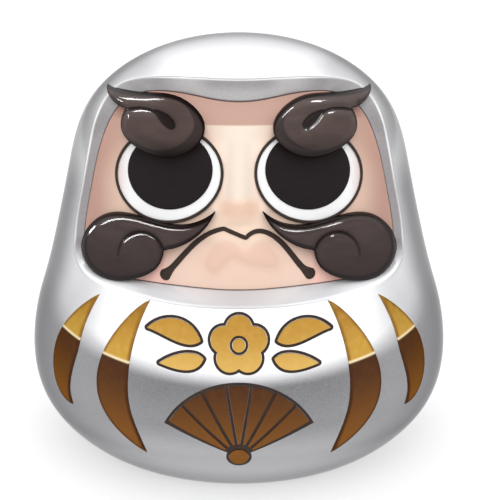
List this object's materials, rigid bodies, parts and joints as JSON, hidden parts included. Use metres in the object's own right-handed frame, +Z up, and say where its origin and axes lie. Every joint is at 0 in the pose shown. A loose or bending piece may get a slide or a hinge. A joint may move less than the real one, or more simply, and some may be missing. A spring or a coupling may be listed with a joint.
{
  "type": "daruma doll",
  "caption": "Round-bottomed hollow paper daruma doll with a recessed face, big round eyes, comma-shaped brows, spiral moustaches, gold belly inlays and a weighted base.",
  "frame": {"origin": "middle of the flat base, at the surface the doll stands on", "axes": "+Z up; the face looks along -Y; +X is to the right of someone facing the doll"},
  "size_m": [0.1528, 0.1532, 0.15],
  "materials": {
    "silver_lacquer": "satin",
    "skin_paint": "matte",
    "eye_white": "gloss",
    "black_lacquer": "gloss",
    "brow_lacquer": "gloss",
    "gold": "polished",
    "clay": "matte",
    "base_card": "matte"
  },
  "bodies": {
    "root": {"body_shell": "silver_lacquer", "face_panel": "skin_paint", "eye_white_left": "eye_white", "eye_white_right": "eye_white", "eye_rim_left": "black_lacquer", "eye_rim_right": "black_lacquer", "eye_pupil_left": "black_lacquer", "eye_pupil_right": "black_lacquer", "eyebrow_left": "brow_lacquer", "eyebrow_right": "brow_lacquer", "moustache_left": "brow_lacquer", "moustache_right": "brow_lacquer", "mouth_line": "black_lacquer", "stripe_left_outer": "gold", "stripe_left_inner": "gold", "stripe_right_inner": "gold", "stripe_right_outer": "gold", "upper_crest": "gold", "upper_crest_border": "black_lacquer", "lower_crest": "gold", "lower_crest_border": "black_lacquer", "base_weight": "clay", "base_disc": "base_card"}
  },
  "joints": []
}
